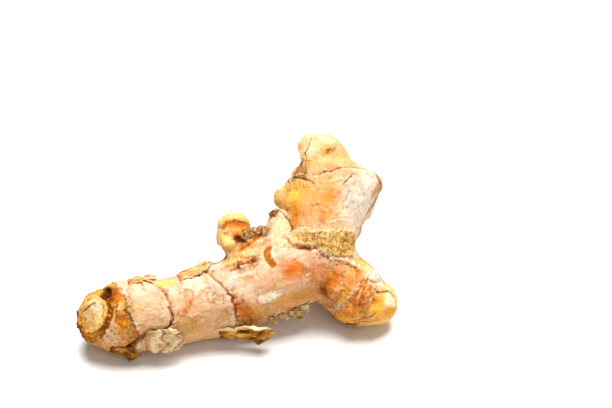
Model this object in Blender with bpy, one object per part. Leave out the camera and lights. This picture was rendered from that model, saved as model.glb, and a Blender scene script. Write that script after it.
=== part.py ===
"""A fresh turmeric rhizome, lying on a table: one grown solid with its fingers and buds, and the dry
scale leaves that still stand on its rings.

Frame: metres, +Z up, the table is z = 0, +X runs along the long finger from its broken end to the
short thumb. The origin is on the table, under the middle of the whole piece.
Places and radii below are in millimetres, measured from a working point near the middle of the
piece; MIDDLE moves them into the frame.
"""

import math

import bmesh
import bpy
from mathutils import Matrix, Vector, noise
from mathutils.bvhtree import BVHTree

MM = 0.001
MIDDLE = Vector((-17.43, -34.07, 0.0))  # the point of the table under the middle of the piece

# Driving sizes, in millimetres.
FINGER_RADIUS = 9.2  # the long finger
MOTHER_RADIUS = 12.8  # the thick upper piece that the fingers grow from
THUMB_RADIUS = 8.2
VOXEL = 0.7  # the grain at which the fingers are fused
FACE_COUNT = 7600  # triangles kept in the rhizome
RING_SIDES = 40
SPINE_STEP = 1.2
CAP_RINGS = 7
LEAF_GAP = 0.35  # air between a dry leaf and the flesh
LEAF_THICKNESS = 0.5


# Each finger is a row of stations: a centre and the radius there.
LONG_FINGER = (
    ((-53.4, -56.0, 9.8), 7.4),
    ((-50.4, -55.6, 9.2), FINGER_RADIUS - 0.1),
    ((-44.0, -54.4, 8.9), FINGER_RADIUS + 0.1),
    ((-36.0, -52.9, 8.6), FINGER_RADIUS - 0.3),
    ((-28.3, -50.6, 8.8), FINGER_RADIUS),
    ((-20.0, -48.2, 10.0), FINGER_RADIUS + 0.6),
    ((-12.0, -45.3, 12.0), FINGER_RADIUS + 0.9),
    ((-4.0, -43.4, 14.2), FINGER_RADIUS + 0.5),
    ((3.0, -41.6, 15.4), FINGER_RADIUS - 0.6),
    ((8.0, -41.0, 15.0), FINGER_RADIUS - 2.0),
)
MOTHER = (
    ((1.5, -43.0, 15.5), 8.6),
    ((3.2, -36.5, 18.6), MOTHER_RADIUS - 3.1),
    ((4.3, -30.4, 21.8), MOTHER_RADIUS - 2.3),
    ((6.6, -25.2, 24.6), MOTHER_RADIUS - 1.0),
    ((8.5, -22.0, 26.0), MOTHER_RADIUS - 0.1),
    ((9.2, -20.2, 26.9), MOTHER_RADIUS - 1.9),
)
CROWN = (
    ((5.0, -22.0, 27.4), 7.6),
    ((4.2, -19.2, 31.2), 7.6),
    ((3.6, -18.2, 33.2), 6.8),
)
THUMB = (
    ((3.6, -41.8, 15.4), THUMB_RADIUS - 0.8),
    ((9.6, -44.2, 11.2), THUMB_RADIUS - 0.2),
    ((14.8, -46.8, 7.9), THUMB_RADIUS),
    ((19.6, -48.4, 7.2), THUMB_RADIUS - 2.6),
)
BACK_FINGER = (
    ((4.6, -30.0, 17.0), 9.0),
    ((5.6, -21.0, 11.4), 7.9),
    ((6.4, -13.0, 7.4), 7.8),
    ((7.0, -8.0, 6.2), 6.7),
)
CURL_BUD = (
    ((-18.0, -45.0, 15.0), 4.6),
    ((-18.8, -39.0, 21.6), 4.9),
    ((-18.5, -36.3, 24.8), 3.9),
)
SCALE_BUD = (
    ((-6.0, -41.0, 17.0), 6.4),
    ((-7.0, -36.2, 21.4), 4.6),
    ((-7.6, -34.0, 23.4), 2.9),
)
SIDE_NUB = (
    ((0.0, -26.0, 23.0), 6.0),
    ((-4.4, -25.4, 23.6), 4.0),
    ((-6.6, -25.1, 23.8), 3.0),
)
BLUNT, DOMED = 0.35, 0.8  # how far an end cap stands out, as a share of its radius
FINGERS = (
    (LONG_FINGER, DOMED),
    (MOTHER, BLUNT),
    (CROWN, DOMED),
    (THUMB, DOMED),
    (BACK_FINGER, DOMED),
    (CURL_BUD, DOMED),
    (SCALE_BUD, DOMED),
    (SIDE_NUB, DOMED),
)

# The dry scale leaves. Each is a thin sheet over a stretch of one finger: from and to along the
# finger's spine, from and to around it in degrees (0 is its upper side, 90 its right), and how far
# the sheet stands off at its last edge, along and around.
LEAVES = (
    ("end_flap", LONG_FINGER, (10.5, 19.5), (80, 116), (0.8, 2.6)),
    ("end_frill", LONG_FINGER, (2.0, 9.6), (104, 134), (0.6, 0.8)),
    ("end_peel", LONG_FINGER, (8.0, 16.0), (-20, -60), (0.2, 0.8)),
    ("middle_flap", LONG_FINGER, (28.5, 41.5), (100, 130), (1.2, 2.6)),
    ("middle_peel", LONG_FINGER, (22.5, 33.0), (-12, -52), (0.5, 1.0)),
    ("back_scale", LONG_FINGER, (40.0, 31.5), (-72, -126), (0.8, 0.9)),
    ("collar", MOTHER, (8.8, 2.6), (-36, 78), (0.5, 0.3)),
    ("crown_scale", MOTHER, (17.6, 22.8), (-14, -50), (0.5, 0.8)),
    ("side_scale", MOTHER, (15.0, 23.0), (126, 168), (0.7, 0.5)),
    ("thumb_scale", THUMB, (11.5, 18.5), (-24, 22), (0.4, 0.2)),
    ("back_finger_scale", BACK_FINGER, (11.0, 19.0), (-150, -64), (0.7, 0.3)),
)
LEAF_GRID = (6, 10)  # points along and around
EDGE_WEAR = 0.22  # how deep the last edges are torn, as a share of the sheet

# The scar where the long finger broke off its neighbour: a flat disc across the end.
SCAR_NORMAL = Vector((-0.62, -0.58, 0.53)).normalized()
SCAR_CENTRE = Vector((-55.0, -60.0, 13.6))


def spine(stations):
    """Points about SPINE_STEP apart on a smooth line through the stations, each with its radius."""
    centres = [Vector(centre) for centre, _ in stations]
    radii = [radius for _, radius in stations]
    last = len(stations) - 1
    points = []
    for i in range(last):
        before, after = max(i - 1, 0), min(i + 2, last)
        steps = max(2, round((centres[i + 1] - centres[i]).length / SPINE_STEP))
        for k in range(steps):
            t = k / steps
            points.append(
                (
                    catmull_rom(centres[before], centres[i], centres[i + 1], centres[after], t),
                    catmull_rom(radii[before], radii[i], radii[i + 1], radii[after], t),
                )
            )
    points.append((centres[last], radii[last]))
    return points


def catmull_rom(a, b, c, d, t):
    """The value at t of the smooth curve that runs from b to c, with a before them and d after."""
    return 0.5 * (2 * b + (c - a) * t + (2 * a - 5 * b + 4 * c - d) * t**2 + (3 * (b - c) + d - a) * t**3)


def across(tangent):
    """Two directions at right angles to the tangent: the upper one and the one to its right."""
    side = tangent.cross(Vector((0, 0, 1))).normalized()
    return side.cross(tangent).normalized(), side


def lumpy(point, radius):
    """The radius with the slow swellings of a grown thing."""
    return radius * (1 + 0.035 * noise.noise(point / 7.0) + 0.02 * noise.noise(point / 3.0))


def finger_rings(stations, dome):
    """The rings of one finger, with a cap at each end that stands out by dome times its radius."""
    points = spine(stations)
    tangents = []
    for i in range(len(points)):
        ahead = points[min(i + 1, len(points) - 1)][0]
        behind = points[max(i - 1, 0)][0]
        tangents.append((ahead - behind).normalized())
    rings = []
    for end, way in ((0, -1), (-1, 1)):
        centre, radius = points[end]
        cap = []
        for k in range(1, CAP_RINGS):
            turn = math.radians(90 * k / CAP_RINGS)
            middle = centre + tangents[end] * way * radius * dome * math.sin(turn)
            cap.append((middle, radius * math.cos(turn), tangents[end]))
        rings.append(cap)
    start_cap, end_cap = rings
    walls = [(centre, radius, tangent) for (centre, radius), tangent in zip(points, tangents)]
    return start_cap[::-1] + walls + end_cap


def add_finger(shape, stations, dome):
    """Adds one closed finger to the bmesh."""
    loops = []
    for centre, radius, tangent in finger_rings(stations, dome):
        up, side = across(tangent)
        loop = []
        for k in range(RING_SIDES):
            turn = math.tau * k / RING_SIDES
            direction = up * math.cos(turn) + side * math.sin(turn)
            reach = lumpy(centre + direction * radius, radius)
            loop.append(shape.verts.new((centre + direction * reach - MIDDLE) * MM))
        loops.append(loop)
    for first, second in zip(loops, loops[1:]):
        for k in range(RING_SIDES):
            after = (k + 1) % RING_SIDES
            shape.faces.new((first[k], first[after], second[after], second[k]))
    shape.faces.new(loops[0][::-1])
    shape.faces.new(loops[-1])


def material(name, colour, roughness):
    """A plain Principled material."""
    made = bpy.data.materials.new(name)
    made.use_nodes = True
    surface = made.node_tree.nodes["Principled BSDF"]
    surface.inputs["Base Color"].default_value = (*colour, 1.0)
    surface.inputs["Roughness"].default_value = roughness
    surface.inputs["Metallic"].default_value = 0.0
    return made


def add_object(name, shape, finish):
    """Turns the bmesh into a smooth-shaded object of that name."""
    bmesh.ops.recalc_face_normals(shape, faces=shape.faces)
    mesh = bpy.data.meshes.new(name)
    shape.to_mesh(mesh)
    shape.free()
    mesh.shade_smooth()
    made = bpy.data.objects.new(name, mesh)
    if finish:
        made.data.materials.append(finish)
    bpy.context.scene.collection.objects.link(made)
    return made


def add_cutter(name, centre, size, turn):
    """A box that only cuts: hidden, and drawn as wire."""
    shape = bmesh.new()
    bmesh.ops.create_cube(shape, size=1.0)
    made = add_object(name, shape, None)
    made.data.transform(Matrix.LocRotScale(centre * MM, turn, size * MM))
    made.hide_render = True
    made.display_type = "WIRE"
    return made


def cut(target, cutter):
    """Takes the cutter away from the target."""
    boolean = target.modifiers.new(cutter.name, "BOOLEAN")
    boolean.operation = "DIFFERENCE"
    boolean.object = cutter


def make_rhizome(finish):
    """The grown solid: all fingers fused, the broken end cut flat, and the low spots worn flat."""
    shape = bmesh.new()
    for stations, dome in FINGERS:
        add_finger(shape, stations, dome)
    rhizome = add_object("rhizome", shape, finish)

    fuse = rhizome.modifiers.new("fuse", "REMESH")
    fuse.mode = "VOXEL"
    fuse.voxel_size = VOXEL * MM
    fuse.use_smooth_shade = True
    soften = rhizome.modifiers.new("soften", "SMOOTH")
    soften.factor = 0.5
    soften.iterations = 8
    thin = rhizome.modifiers.new("thin", "DECIMATE")
    thin.ratio = FACE_COUNT / fused_triangles(rhizome)

    block = 40.0
    turn = SCAR_NORMAL.to_track_quat("Z", "Y")
    scar = SCAR_CENTRE - MIDDLE + SCAR_NORMAL * block / 2
    cut(rhizome, add_cutter("scar_cutter", scar, Vector((block, block, block)), turn))
    table = Vector((0, 0, -block / 2))
    flat = Matrix.Identity(3).to_quaternion()
    cut(rhizome, add_cutter("table_cutter", table, Vector((200, 200, block)), flat))
    return rhizome


def fused_triangles(rhizome):
    """How many triangles the fused and softened rhizome has before it is thinned."""
    bpy.context.view_layer.update()
    thin = rhizome.modifiers["thin"]
    thin.show_viewport = False
    graph = bpy.context.evaluated_depsgraph_get()
    mesh = rhizome.evaluated_get(graph).to_mesh()
    count = sum(len(face.vertices) - 2 for face in mesh.polygons)
    thin.show_viewport = True
    return count


def spine_at(stations, distance):
    """The centre and the direction of a finger at a distance along its spine."""
    points = [centre for centre, _ in spine(stations)]
    for here, after in zip(points, points[1:]):
        length = (after - here).length
        if distance <= length or after is points[-1]:
            direction = (after - here).normalized()
            return here + direction * distance, direction
        distance -= length


def leaf_point(flesh, stations, distance, angle, stand_off):
    """A point above the flesh, seen outwards from the finger's spine."""
    centre, tangent = spine_at(stations, distance)
    up, side = across(tangent)
    direction = up * math.cos(angle) + side * math.sin(angle)
    start = (centre - MIDDLE) * MM
    hit = flesh.ray_cast(start, direction)[0]
    return hit + direction * (LEAF_GAP + stand_off) * MM


def make_leaf(name, flesh, stations, along, around, lift, finish):
    """One dry scale leaf: a sheet that follows the flesh, torn and lifted at its last edges."""
    shape = bmesh.new()
    rows, columns = LEAF_GRID
    grid = []
    for i in range(rows):
        line = []
        for k in range(columns):
            u, v = i / (rows - 1), k / (columns - 1)
            worn_u = 1 - EDGE_WEAR * abs(noise.noise(Vector((v * 6, along[0], around[0])))) * u
            worn_v = 1 - EDGE_WEAR * abs(noise.noise(Vector((around[0], u * 6, along[0])))) * v
            rounded = 1 - 0.3 * u * abs(2 * v - 1) ** 3
            distance = along[0] + (along[1] - along[0]) * u * worn_u * rounded
            angle = math.radians(around[0] + (around[1] - around[0]) * v * worn_v)
            stand_off = lift[0] * u**2 + lift[1] * v**2
            line.append(shape.verts.new(leaf_point(flesh, stations, distance, angle, stand_off)))
        grid.append(line)
    for first, second in zip(grid, grid[1:]):
        for k in range(columns - 1):
            shape.faces.new((first[k], first[k + 1], second[k + 1], second[k]))
    leaf = add_object(name, shape, finish)
    centre = spine_at(stations, sum(along) / 2)[0]
    outward = leaf.data.vertices[rows * columns // 2].co - (centre - MIDDLE) * MM
    if leaf.data.polygons[rows * columns // 2].normal.dot(outward) < 0:
        leaf.data.flip_normals()
    thick = leaf.modifiers.new("thickness", "SOLIDIFY")
    thick.thickness = LEAF_THICKNESS * MM
    thick.offset = 1.0
    return leaf


def main():
    for old in list(bpy.data.objects):
        bpy.data.objects.remove(old)
    rhizome = make_rhizome(material("skin", (0.78, 0.55, 0.38), 0.6))
    bpy.context.view_layer.update()
    flesh = BVHTree.FromObject(rhizome, bpy.context.evaluated_depsgraph_get())
    dry = material("dry_leaf", (0.55, 0.40, 0.22), 0.8)
    for name, stations, along, around, lift in LEAVES:
        make_leaf(name, flesh, stations, along, around, lift, dry)


main()
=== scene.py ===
"""The looks of a fresh turmeric rhizome: its skin, its broken end, and the dry leaves on its rings.

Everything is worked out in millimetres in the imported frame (MM turns it into metres). A place on a
finger is given as (along, around): millimetres along the finger's spine from its first station, and
degrees around it, where 0 is the upper side and 90 the right-hand side, seen along the spine.
The skin's and the leaves' colours are 0 to 255 a channel. A mark's seed, even or odd, says which of
two noises frays its edge.
"""

import math

import bmesh
import bpy
import numpy as np
from mathutils import Matrix, Vector
from mathutils.bvhtree import BVHTree


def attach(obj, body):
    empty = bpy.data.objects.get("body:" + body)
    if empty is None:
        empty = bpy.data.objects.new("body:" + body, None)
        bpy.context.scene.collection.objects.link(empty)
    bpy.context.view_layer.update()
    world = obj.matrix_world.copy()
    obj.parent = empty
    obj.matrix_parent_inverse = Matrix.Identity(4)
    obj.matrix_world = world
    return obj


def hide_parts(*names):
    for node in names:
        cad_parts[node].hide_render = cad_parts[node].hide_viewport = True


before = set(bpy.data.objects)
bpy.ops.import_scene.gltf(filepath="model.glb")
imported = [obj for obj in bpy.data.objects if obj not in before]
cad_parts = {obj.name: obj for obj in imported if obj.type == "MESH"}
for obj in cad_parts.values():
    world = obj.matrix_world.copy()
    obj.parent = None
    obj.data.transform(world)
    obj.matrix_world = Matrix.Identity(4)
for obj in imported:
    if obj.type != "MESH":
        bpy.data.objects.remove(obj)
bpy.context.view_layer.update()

MM = 0.001
GRAIN = 0.3  # spacing of the points of the skin
SPINE_STEP = 0.8  # length of the short stretches of a finger's spine
LEAF_THICKNESS = 0.16
rng = np.random.default_rng(7)

# The point on the table under the middle of the piece, from which the stations are measured.
MIDDLE = np.array((-17.43, -34.07, 0.0))
STATIONS = {  # each finger's spine, as in the CAD: centre and radius
    "long": (((-53.4, -56.0, 9.8), 7.4), ((-50.4, -55.6, 9.2), 9.1), ((-44.0, -54.4, 8.9), 9.3),
             ((-36.0, -52.9, 8.6), 8.9), ((-28.3, -50.6, 8.8), 9.2), ((-20.0, -48.2, 10.0), 9.8),
             ((-12.0, -45.3, 12.0), 10.1), ((-4.0, -43.4, 14.2), 9.7), ((3.0, -41.6, 15.4), 8.6),
             ((8.0, -41.0, 15.0), 7.2)),
    "mother": (((1.5, -43.0, 15.5), 8.6), ((3.2, -36.5, 18.6), 9.7), ((4.3, -30.4, 21.8), 10.5),
               ((6.6, -25.2, 24.6), 11.8), ((8.5, -22.0, 26.0), 12.7), ((9.2, -20.2, 26.9), 10.9)),
    "crown": (((5.0, -22.0, 27.4), 7.6), ((4.2, -19.2, 31.2), 7.6), ((3.6, -18.2, 33.2), 6.8)),
    "thumb": (((3.6, -41.8, 15.4), 7.4), ((9.6, -44.2, 11.2), 8.0), ((14.8, -46.8, 7.9), 8.2),
              ((19.6, -48.4, 7.2), 5.6)),
    "back": (((4.6, -30.0, 17.0), 9.0), ((5.6, -21.0, 11.4), 7.9), ((6.4, -13.0, 7.4), 7.8),
             ((7.0, -8.0, 6.2), 6.7)),
    "curl": (((-18.0, -45.0, 15.0), 4.6), ((-18.8, -39.0, 21.6), 4.9), ((-18.5, -36.3, 24.8), 3.9)),
    "bud": (((-6.0, -41.0, 17.0), 6.4), ((-7.0, -36.2, 21.4), 4.6), ((-7.6, -34.0, 23.4), 2.9)),
    "nub": (((0.0, -26.0, 23.0), 6.0), ((-4.4, -25.4, 23.6), 4.0), ((-6.6, -25.1, 23.8), 3.0)),
}


# ---------------- numbers: noise and smooth steps

PERMUTED = rng.permutation(256)
GRADIENTS = rng.normal(size=(256, 3))
GRADIENTS /= np.linalg.norm(GRADIENTS, axis=1)[:, None]


def noise(points, size, seed=0):
    """Smooth noise, about -1 to 1, whose lumps are about size across."""
    places = np.asarray(points) / size + seed * 17.31
    base = np.floor(places).astype(int)
    part = places - base
    ease = part**3 * (part * (part * 6 - 15) + 10)
    total = np.zeros(len(places))
    for corner in range(8):
        step = np.array([corner >> 2 & 1, corner >> 1 & 1, corner & 1])
        x, y, z = ((base + step) & 255).T
        pick = PERMUTED[(PERMUTED[(PERMUTED[x] + y) & 255] + z) & 255]
        weight = np.prod(np.where(step, ease, 1 - ease), axis=1)
        total += weight * np.einsum("ij,ij->i", GRADIENTS[pick], part - step)
    return total * 1.7


def rough_noise(points, size, seed=0, octaves=3):
    """Noise with finer and finer noise on it."""
    return sum(noise(points, size / 2**k, seed + k) / 2**k for k in range(octaves)) / 1.6


def step(value, low, high):
    """0 below low, 1 above high, and a smooth rise between them (or a fall, where high < low)."""
    t = np.clip((value - low) / (high - low), 0, 1)
    return t * t * (3 - 2 * t)


def bump(value, width):
    """A rounded hump: 1 where value is 0, near 0 beyond width."""
    return np.exp(-((value / width) ** 2))


def turned(degrees):
    """The same angle between -180 and 180."""
    return (degrees + 180) % 360 - 180


def srgb(red, green, blue):
    """A colour given as 0 to 255 a channel, as linear light."""
    value = np.array((red, green, blue)) / 255
    return np.where(value <= 0.04045, value / 12.92, ((value + 0.055) / 1.055) ** 2.4)


# ---------------- fingers and places on them


def curve_point(a, b, c, d, t):
    """The smooth curve from b to c, with a before them and d after."""
    return 0.5 * (2 * b + (c - a) * t + (2 * a - 5 * b + 4 * c - d) * t**2 + (3 * (b - c) + d - a) * t**3)


class Finger:
    """A finger's spine as short straight stretches, for finding places on it."""

    def __init__(self, stations):
        rows = np.array([(*centre, radius) for centre, radius in stations])
        rows[:, :3] -= MIDDLE
        line = []
        for i in range(len(rows) - 1):
            a, b, c, d = (rows[min(max(i + k, 0), len(rows) - 1)] for k in (-1, 0, 1, 2))
            count = max(2, round(np.linalg.norm((c - b)[:3]) / SPINE_STEP))
            line += [curve_point(a, b, c, d, k / count) for k in range(count)]
        line = np.array(line + [rows[-1]])
        self.points, self.radii = line[:, :3], line[:, 3]
        lengths = np.linalg.norm(np.diff(self.points, axis=0), axis=1)
        self.along = np.concatenate(((0.0,), np.cumsum(lengths)))
        tangents = np.gradient(self.points, axis=0)
        self.tangents = tangents / np.linalg.norm(tangents, axis=1)[:, None]
        side = np.cross(self.tangents, (0.0, 0.0, 1.0))
        self.side = side / np.linalg.norm(side, axis=1)[:, None]
        self.up = np.cross(self.side, self.tangents)

    def places(self, points):
        """Along, around, and how far outside the finger's own radius each point is."""
        nearest = np.full(len(points), 1e9)
        index = np.zeros(len(points), int)
        for i, (centre, radius) in enumerate(zip(self.points, self.radii)):
            outside = np.linalg.norm(points - centre, axis=1) - radius
            closer = outside < nearest
            nearest[closer] = outside[closer]
            index[closer] = i
        away = points - self.points[index]
        along = self.along[index] + np.einsum("ij,ij->i", away, self.tangents[index])
        right = np.einsum("ij,ij->i", away, self.side[index])
        above = np.einsum("ij,ij->i", away, self.up[index])
        return along, np.degrees(np.arctan2(right, above)), nearest, right, above

    def ray(self, along, around):
        """The spine's point there and the direction straight out from it."""
        centre = np.array([np.interp(along, self.along, self.points[:, k]) for k in range(3)])
        if along > self.along[-1]:
            centre = centre + self.tangents[-1] * (along - self.along[-1])
        if along < 0:
            centre = centre + self.tangents[0] * along
        i = int(np.clip(np.searchsorted(self.along, along), 0, len(self.along) - 1))
        turn = math.radians(around)
        return centre, self.up[i] * math.cos(turn) + self.side[i] * math.sin(turn)


FINGERS = {name: Finger(stations) for name, stations in STATIONS.items()}


# ---------------- the skin's points


FIELD_SIZES = (0.8, 1.6, 3.2, 6.4)
FRAY = 0.75  # how ragged a blot's edge is
BALL_EDGE = 0.3  # how soft a ball's edge is, as a share of its reach


class Surface:
    """The points of the skin with where they lie on each finger, their height and their colour."""

    def __init__(self, points):
        self.points = points
        self.at = {name: finger.places(points) for name, finger in FINGERS.items()}
        gaps = np.array([self.at[name][2] for name in FINGERS])
        self.least = gaps.min(axis=0)
        self.fields = [[rough_noise(points, size, 300 + 9 * i + 40 * k) for k in range(2)]
                       for i, size in enumerate(FIELD_SIZES)]
        shift = np.stack([noise(points, 4.5, 380 + k) for k in range(3)], axis=1)
        self.warped = points + 1.4 * shift + 0.5 * self.fields[1][0][:, None]
        self.height = np.zeros(len(points))
        self.colour = np.zeros((len(points), 3))
        self.shares = {}
        owner = gaps.argmin(axis=0)
        self.fibre = np.zeros((len(points), 3))
        for k, name in enumerate(FINGERS):
            along, _, _, right, above = self.at[name]
            mine = owner == k
            self.fibre[mine] = np.stack((along / 7, right, above), axis=1)[mine] + 40 * k

    def field(self, size, seed):
        """Rough noise with lumps about size across: the nearest of those worked out."""
        i = int(np.argmin([abs(math.log(size / known)) for known in FIELD_SIZES]))
        return self.fields[i][seed % 2]

    def on(self, name, blend=1.2):
        """1 on that finger, falling to 0 where another takes over."""
        if (name, blend) not in self.shares:
            self.shares[name, blend] = step(self.at[name][2] - self.least, blend, 0.2)
        return self.shares[name, blend]

    def patch(self, name, along, around, length, width, slant=0.0, edge=None, seed=0):
        """1 inside a frayed blot on a finger, 0 outside."""
        s, angle = self.at[name][:2]
        radius = float(np.interp(along, FINGERS[name].along, FINGERS[name].radii))
        x, y = s - along, np.radians(turned(angle - around)) * radius
        turn, small = math.radians(slant), min(length, width)
        if edge is None:
            edge = float(np.clip(0.15 * small, 0.3, 0.85))
        u = (x * math.cos(turn) + y * math.sin(turn)) / (length / 2)
        v = (y * math.cos(turn) - x * math.sin(turn)) / (width / 2)
        frayed = 0.7 * self.field(small * 0.9, seed) + 0.6 * self.field(small * 0.35, seed + 1)
        return step(np.hypot(u, v) + FRAY * frayed, 1 + edge, 1 - edge) * self.on(name)

    def wander(self, seed, amount):
        """How far a line strays from its course at each point, in millimetres."""
        return amount * (self.field(1.6, seed) + 0.5 * self.field(0.8, seed))

    def stroke(self, name, places, width, wobble=0.4, seed=0):
        """A line through places on a finger: 1 on it, near 0 beyond width."""
        s, angle = self.at[name][:2]
        middle = places[len(places) // 2]
        radius = float(np.interp(middle[0], FINGERS[name].along, FINGERS[name].radii))
        here = np.stack((s, np.radians(turned(angle - middle[1])) * radius), axis=1)
        here = here + np.stack((self.wander(seed, wobble), self.wander(seed + 1, wobble)), axis=1)
        line = [np.array((a, math.radians(turned(b - middle[1])) * radius)) for a, b in places]
        return bump(distance_to_line(here, line), width) * self.on(name)

    def line(self, places, width, wobble=0.4, seed=0):
        """A line through points in space: 1 on it, near 0 beyond width."""
        here = self.points + np.stack([self.wander(seed + k, wobble) for k in range(3)], axis=1)
        return bump(distance_to_line(here, [np.array(p) for p in places]), width)

    def ball(self, centre, reach, fray=0.3, seed=0):
        """1 near a point in space and 0 beyond reach, with a frayed edge."""
        away = np.linalg.norm(self.points - np.array(centre), axis=1) / reach
        return step(away + fray * self.field(reach * 0.8, seed), 1 + BALL_EDGE, 1 - BALL_EDGE)

    def lift(self, mask, height):
        """Lifts (or sinks) the skin where the mask is, in millimetres."""
        self.height += mask * height

    def paint(self, mask, colour, amount=1.0, rise=0.0, broken=0.3):
        """Mixes a colour in where the mask is, a little unevenly, and lifts the skin there."""
        uneven = 1 - broken * step(self.fields[0][1], 0.0, 0.5)
        share = np.clip(mask * amount * uneven, 0, 1)[:, None]
        self.colour = self.colour * (1 - share) + srgb(*colour) * share
        self.lift(mask, rise)

    def shade(self, mask, *rows):
        """Paints a mask where a value rises: the value, where that starts and is full, colour, amount."""
        for value, low, high, colour, amount in rows:
            self.paint(mask * step(value, low, high), colour, amount)

    def blots(self, name, rows):
        """Paints blots: along, around, length, width, slant (where it has one), seed, colour, amount."""
        for *where, seed, colour, amount in rows:
            self.paint(self.patch(name, *where, seed=seed), colour, amount)

    def marks(self, name, rows):
        """Paints lines and lifts the skin under them: places, width, seed, colour, amount, rise."""
        for places, width, seed, colour, amount, rise in rows:
            self.paint(self.stroke(name, places, width, seed=seed), colour, amount, rise)


def distance_to_line(here, line):
    """How far each point is from a line through several others."""
    away = np.full(len(here), 1e9)
    for a, b in zip(line, line[1:]):
        t = np.clip((here - a) @ (b - a) / ((b - a) @ (b - a)), 0, 1)
        away = np.minimum(away, np.linalg.norm(here - a - t[:, None] * (b - a), axis=1))
    return away


# ---------------- colours

CREAM = (235, 205, 180)
PINK = (234, 188, 162)
BEIGE = (224, 180, 138)
WHITE_SKIN = (250, 232, 214)
OLIVE = (150, 120, 62)
ORANGE = (226, 138, 54)
RED = (210, 78, 40)
TAN = (190, 138, 84)
BROWN = (128, 72, 30)
DARK = (52, 28, 12)

DYE = (0.80, 0.755, 0.77)  # the share of red, green and blue that the skin keeps
DYE_DEPTH = (1.02, 1.10, 1.30)  # the powers that deepen them


def dyed(colours):
    """The colours of the skin itself: deeper than it looks, because the light is strong."""
    return np.array(DYE) * np.asarray(colours) ** DYE_DEPTH


# ---------------- meshes


def linked(name, data):
    """A new object in the scene."""
    piece = bpy.data.objects.new(name, data)
    bpy.context.scene.collection.objects.link(piece)
    return piece


def dress(mesh, colours, fibre, finish):
    """Gives a mesh its material, a colour for each point, and the places that its fibres follow."""
    mesh.materials.append(finish)
    tint = mesh.color_attributes.new("tint", "FLOAT_COLOR", "POINT")
    tint.data.foreach_set("color", np.column_stack((dyed(colours), np.ones(len(colours)))).ravel())
    threads = mesh.attributes.new("fibre", "FLOAT_VECTOR", "POINT")
    threads.data.foreach_set("vector", np.asarray(fibre).ravel())
    mesh.shade_smooth()


def grid_of(items, field="co", width=3, kind=float):
    """A row of numbers for each vertex, edge or normal."""
    values = np.zeros(len(items) * width, kind)
    items.foreach_get(field, values)
    return values.reshape(-1, width)


def bvh_of(mesh):
    """A ray-casting tree of a mesh, in millimetres."""
    points = [tuple(p) for p in grid_of(mesh.vertices) / MM]
    return BVHTree.FromPolygons(points, [tuple(p.vertices) for p in mesh.polygons])


def land(tree, name, along, around, outside=0.0):
    """The point outside millimetres above the skin, straight out from a finger's spine."""
    centre, out = FINGERS[name].ray(along, around)
    hit = tree.ray_cast(Vector(centre), Vector(out))[0]
    return np.array(hit) + out * outside


SWELLINGS = (  # small lumps fused into the skin: finger, along, around, outside, radius
    ("curl", 7.8, -22, -0.9, 2.1),
    ("curl", 8.0, 60, -1.4, 2.1),
    ("curl", 12.5, -60, -1.7, 2.4),
    ("thumb", 13.8, 80, -1.3, 2.4),
    ("thumb", 6.0, 70, -1.9, 3.0),
    ("thumb", 18.5, 75, -2.0, 3.2),
    ("long", 2.6, -26, -1.3, 2.0),
    ("long", 4.6, 34, -2.2, 3.0),
    ("long", 6.6, 66, -2.2, 3.0),
    ("long", 40.5, 6, -1.7, 2.4),
    ("long", 44.0, 9, -1.8, 2.4),
    ("long", 34.0, -20, -1.4, 2.2),
    ("long", 44.0, 150, -1.8, 2.8),
    ("mother", 14.5, -46, -3.2, 4.2),
    ("mother", 14.0, 120, -2.0, 3.2),
    ("crown", 8.6, 150, -2.2, 3.4),
    ("back", 12.0, -20, -1.6, 2.6),
    ("back", 17.0, 70, -1.8, 2.6),
)
CREVICE_LUMPS = (((3.8, -5.2, 24.2), 1.5), ((6.2, -4.6, 24.2), 1.5), ((1.8, -6.1, 24.3), 1.1))  # dry tissue
LUMPS = (  # larger lumps, by centre and radius
    ((10.4, 0.5, 24.7), 2.1),  # the scaly bud's own tip
    ((4.4, -6.8, 21.3), 2.5), ((6.9, -5.4, 22.0), 2.4),  # dark brown lumps in the crevice between the two buds
    *CREVICE_LUMPS,  # which lies on that
    ((9.0, 0.3, 26.5), 0.9), ((8.0, -0.2, 26.3), 0.6), ((9.9, 0.7, 26.9), 0.6),  # the scaly bud's dark tuft
    ((33.5, 8.6, 29.0), 4.1),  # the upper branch's right corner
    ((17.1, 16.0, 36.2), 2.0), ((18.3, 16.8, 36.9), 2.2), ((17.0, 15.3, 35.0), 2.0),  # the crown's upper left
)

CURL_HOLLOW = np.array((-0.5, -5.5, 26.2))
CURL_HOLE = (-0.4, -7.8, 24.2)
CURL_INWARD = (-0.35, 0.70, -0.62)
CURL_UP = np.array((0.10, 0.64, 0.76))
DENTS = (  # hollows pressed into the skin: middle, direction, radius, depth, and stretch along X
    ((-6.4, -8.8, 18.2), (1, 0.25, 0.1), 4.2, 4.4, 1.0),  # the curled bud's waist
    (CURL_HOLLOW, CURL_INWARD, 2.0, 0.8, 1.5),
    (CURL_HOLE, CURL_INWARD, 1.4, 0.9, 1.0),
    ((14.6, 14.4, 32.8), (1, -0.2, 0), 3.0, 2.0, 1.0),  # under the crown's upper left
    ((14.0, 17.6, 30.8), (1, -0.1, 0), 3.8, 2.2, 1.0),
    ((37.4, 9.0, 23.2), (-1, 0.05, 0.1), 5.2, 1.6, 1.0),  # under the upper branch's right corner
)


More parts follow.
